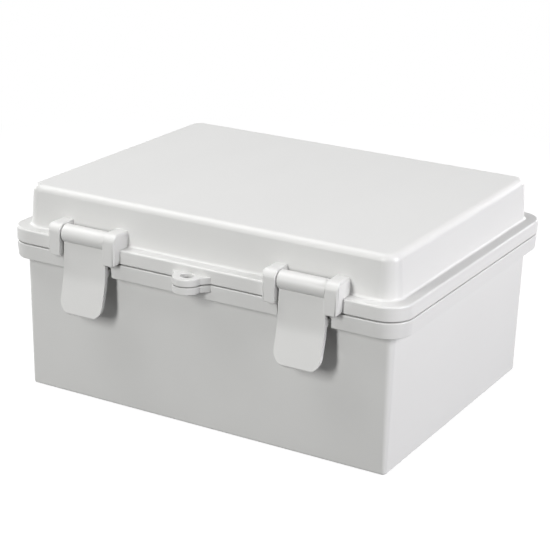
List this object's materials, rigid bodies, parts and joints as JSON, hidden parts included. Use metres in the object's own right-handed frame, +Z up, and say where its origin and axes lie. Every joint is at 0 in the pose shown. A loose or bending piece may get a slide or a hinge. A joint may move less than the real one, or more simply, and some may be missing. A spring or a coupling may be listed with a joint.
{
  "type": "hinged electrical enclosure",
  "caption": "Closed grey plastic junction box with a hinged lid, snap latches, a padlock lug and a steel mounting plate inside; opens for wiring.",
  "frame": {"origin": "middle of the underside, where the box stands on its floor", "axes": "+Z up towards the lid, -Y towards the latches and the padlock lug, +X to the right along the front"},
  "size_m": [0.22, 0.1934, 0.1075],
  "materials": {
    "shell_plastic": "satin moulded light grey polycarbonate",
    "gasket_foam": "closed-cell foam, matt",
    "pin_steel": "drawn stainless rod",
    "plate_steel": "zinc-plated sheet",
    "screw_zinc": "bright zinc-plated screw",
    "brass": "turned brass"
  },
  "bodies": {
    "base": {"base_shell": "shell_plastic", "mounting_plate": "plate_steel", "plate_screw_1": "screw_zinc", "plate_screw_2": "screw_zinc", "plate_screw_3": "screw_zinc", "plate_screw_4": "screw_zinc", "plate_insert_1": "brass", "plate_insert_2": "brass", "plate_insert_3": "brass", "plate_insert_4": "brass", "fixing_insert_1": "brass", "fixing_insert_2": "brass", "fixing_insert_3": "brass", "fixing_insert_4": "brass"},
    "lid": {"lid_shell": "shell_plastic", "lid_gasket": "gasket_foam", "latch_pin_left": "pin_steel", "latch_pin_right": "pin_steel", "hinge_pin_left": "pin_steel", "hinge_pin_right": "pin_steel"},
    "latch_left": {"latch_lever_left": "shell_plastic"},
    "latch_right": {"latch_lever_right": "shell_plastic"}
  },
  "joints": [
    {"name": "lid_hinge", "type": "hinge", "parent": "base", "child": "lid", "pos_m": [0, 0.092, 0.0785], "axis": [-1, 0, 0], "range_deg": [0, 110]},
    {"name": "latch_left_pivot", "type": "hinge", "parent": "lid", "child": "latch_left", "pos_m": [-0.0608, -0.0856, 0.089], "axis": [-1, 0, 0], "range_deg": [0, 120]},
    {"name": "latch_right_pivot", "type": "hinge", "parent": "lid", "child": "latch_right", "pos_m": [0.0608, -0.0856, 0.089], "axis": [-1, 0, 0], "range_deg": [0, 120]}
  ]
}
